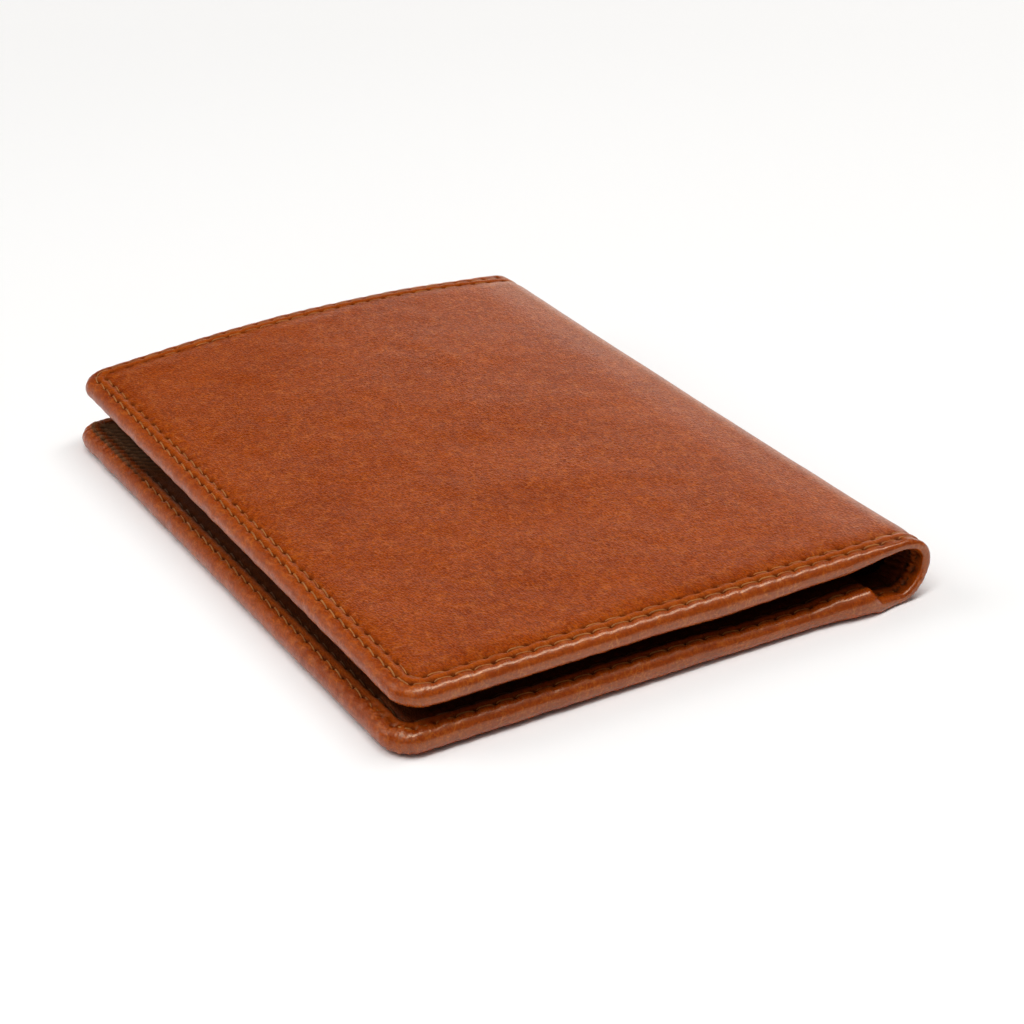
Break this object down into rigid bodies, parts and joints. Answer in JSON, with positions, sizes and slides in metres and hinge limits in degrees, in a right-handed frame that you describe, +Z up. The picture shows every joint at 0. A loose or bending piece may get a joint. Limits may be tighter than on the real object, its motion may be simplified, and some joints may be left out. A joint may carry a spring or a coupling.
{
  "type": "bifold card wallet",
  "caption": "Slim leather bifold card wallet, closed and lying flat, with turned stitched edges, inner pockets and a spine that bends open.",
  "frame": {"origin": "middle of the rectangle that the closed wallet covers, on the surface it lies on", "axes": "+Y along the spine, +X from the open edge towards the spine, +Z up through the closed wallet"},
  "size_m": [0.0726, 0.102, 0.013],
  "materials": {
    "cover_leather": "tan brown, fine pebbled grain, polished, glossier on the turned edges",
    "inner_leather": "dark brown, matt, slightly napped",
    "board": "grey-brown board, matt",
    "thread": "golden tan waxed thread"
  },
  "bodies": {
    "back_leaf": {"back_board": "board", "back_cover": "cover_leather", "back_lining": "inner_leather", "back_stitching_inner": "thread", "back_stitching_outer": "thread", "back_turned_edge_far": "cover_leather", "back_turned_edge_near": "cover_leather", "back_turned_edge_open": "cover_leather", "card_pocket_1": "inner_leather", "card_pocket_2": "inner_leather", "spine_lining_back": "inner_leather"},
    "spine_strip_1": {"spine_leather_1": "cover_leather", "spine_lining_1": "inner_leather"},
    "spine_strip_2": {"spine_leather_2": "cover_leather", "spine_lining_2": "inner_leather"},
    "front_leaf": {"front_board": "board", "front_cover": "cover_leather", "front_lining": "inner_leather", "front_stitching_inner": "thread", "front_stitching_outer": "thread", "front_turned_edge_far": "cover_leather", "front_turned_edge_near": "cover_leather", "front_turned_edge_open": "cover_leather", "slip_pocket": "inner_leather", "spine_lining_front": "inner_leather"}
  },
  "joints": [
    {"name": "spine_bend_1", "type": "hinge", "parent": "back_leaf", "child": "spine_strip_1", "pos_m": [0.03422, 0, 0.00056], "axis": [0, 1, 0], "range_deg": [0, 57.6]},
    {"name": "spine_bend_2", "type": "hinge", "parent": "spine_strip_1", "child": "spine_strip_2", "pos_m": [0.0363, 0, 0.00465], "axis": [0, 1, 0.0098], "range_deg": [0, 57.6]},
    {"name": "spine_bend_3", "type": "hinge", "parent": "spine_strip_2", "child": "front_leaf", "pos_m": [0.03422, 0, 0.0089], "axis": [0, 0.9997, 0.0227], "range_deg": [0, 57.6]}
  ],
  "couplings": [
    {"joint": "spine_bend_1", "follows": "spine_bend_3", "ratio": 1},
    {"joint": "spine_bend_2", "follows": "spine_bend_3", "ratio": 1}
  ]
}
